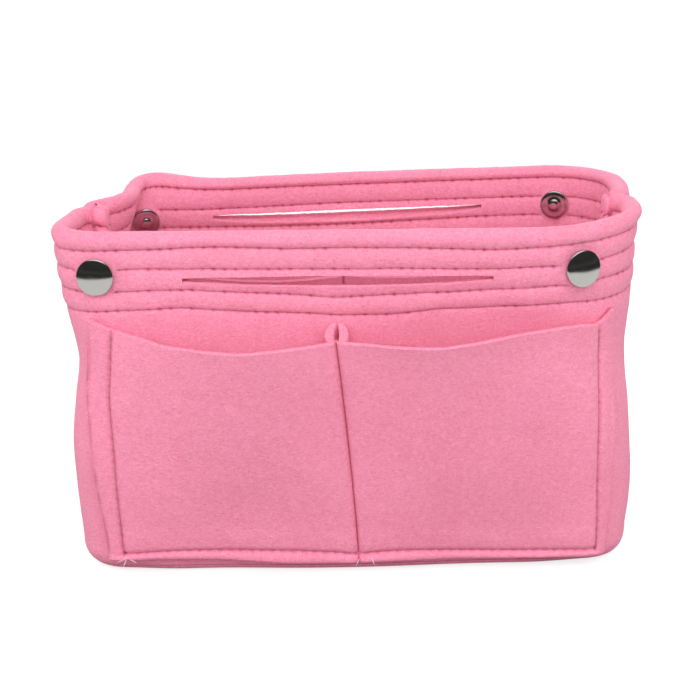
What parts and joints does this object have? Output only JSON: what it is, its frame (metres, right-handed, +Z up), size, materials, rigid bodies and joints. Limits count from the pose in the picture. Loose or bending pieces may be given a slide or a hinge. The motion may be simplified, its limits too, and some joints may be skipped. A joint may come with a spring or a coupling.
{
  "type": "purse organizer insert",
  "caption": "Open felt organizer insert for a handbag, with a quilted rim, a grab slot in each long wall, outer and inner pockets, and press snaps that draw in the ends.",
  "frame": {"origin": "on the underside of the base panel, under the middle of the shell's length and depth", "axes": "+X along the length to the right as seen from the front, -Y out of the front wall, +Z up"},
  "size_m": [0.199, 0.1165, 0.122],
  "materials": {
    "felt": "matte pink needle felt",
    "inner_felt": "matte pink needle felt, a little deeper in colour",
    "snap_metal": "polished nickel"
  },
  "bodies": {
    "shell": {"base_panel": "felt", "front_wall": "felt", "back_wall": "felt", "front_pocket": "felt", "back_pocket": "felt", "inner_front_pocket": "inner_felt", "inner_back_pocket": "inner_felt", "snap_cap_front_left": "snap_metal", "snap_cap_front_right": "snap_metal", "snap_cap_back_left": "snap_metal", "snap_cap_back_right": "snap_metal", "snap_socket_left": "snap_metal", "snap_socket_right": "snap_metal", "snap_stud_left": "snap_metal", "snap_stud_right": "snap_metal"},
    "left_end": {"left_end_front_half": "felt", "left_end_back_half": "felt"},
    "right_end": {"right_end_front_half": "felt", "right_end_back_half": "felt"}
  },
  "joints": [
    {"name": "left_end_fold", "type": "hinge", "parent": "shell", "child": "left_end", "pos_m": [-0.094, 0, 0.0083], "axis": [0, 1, 0], "range_deg": [0, 18], "stiffness_Nm_per_rad": 0.05},
    {"name": "right_end_fold", "type": "hinge", "parent": "shell", "child": "right_end", "pos_m": [0.094, 0, 0.0083], "axis": [0, -1, 0], "range_deg": [0, 18], "stiffness_Nm_per_rad": 0.05}
  ]
}
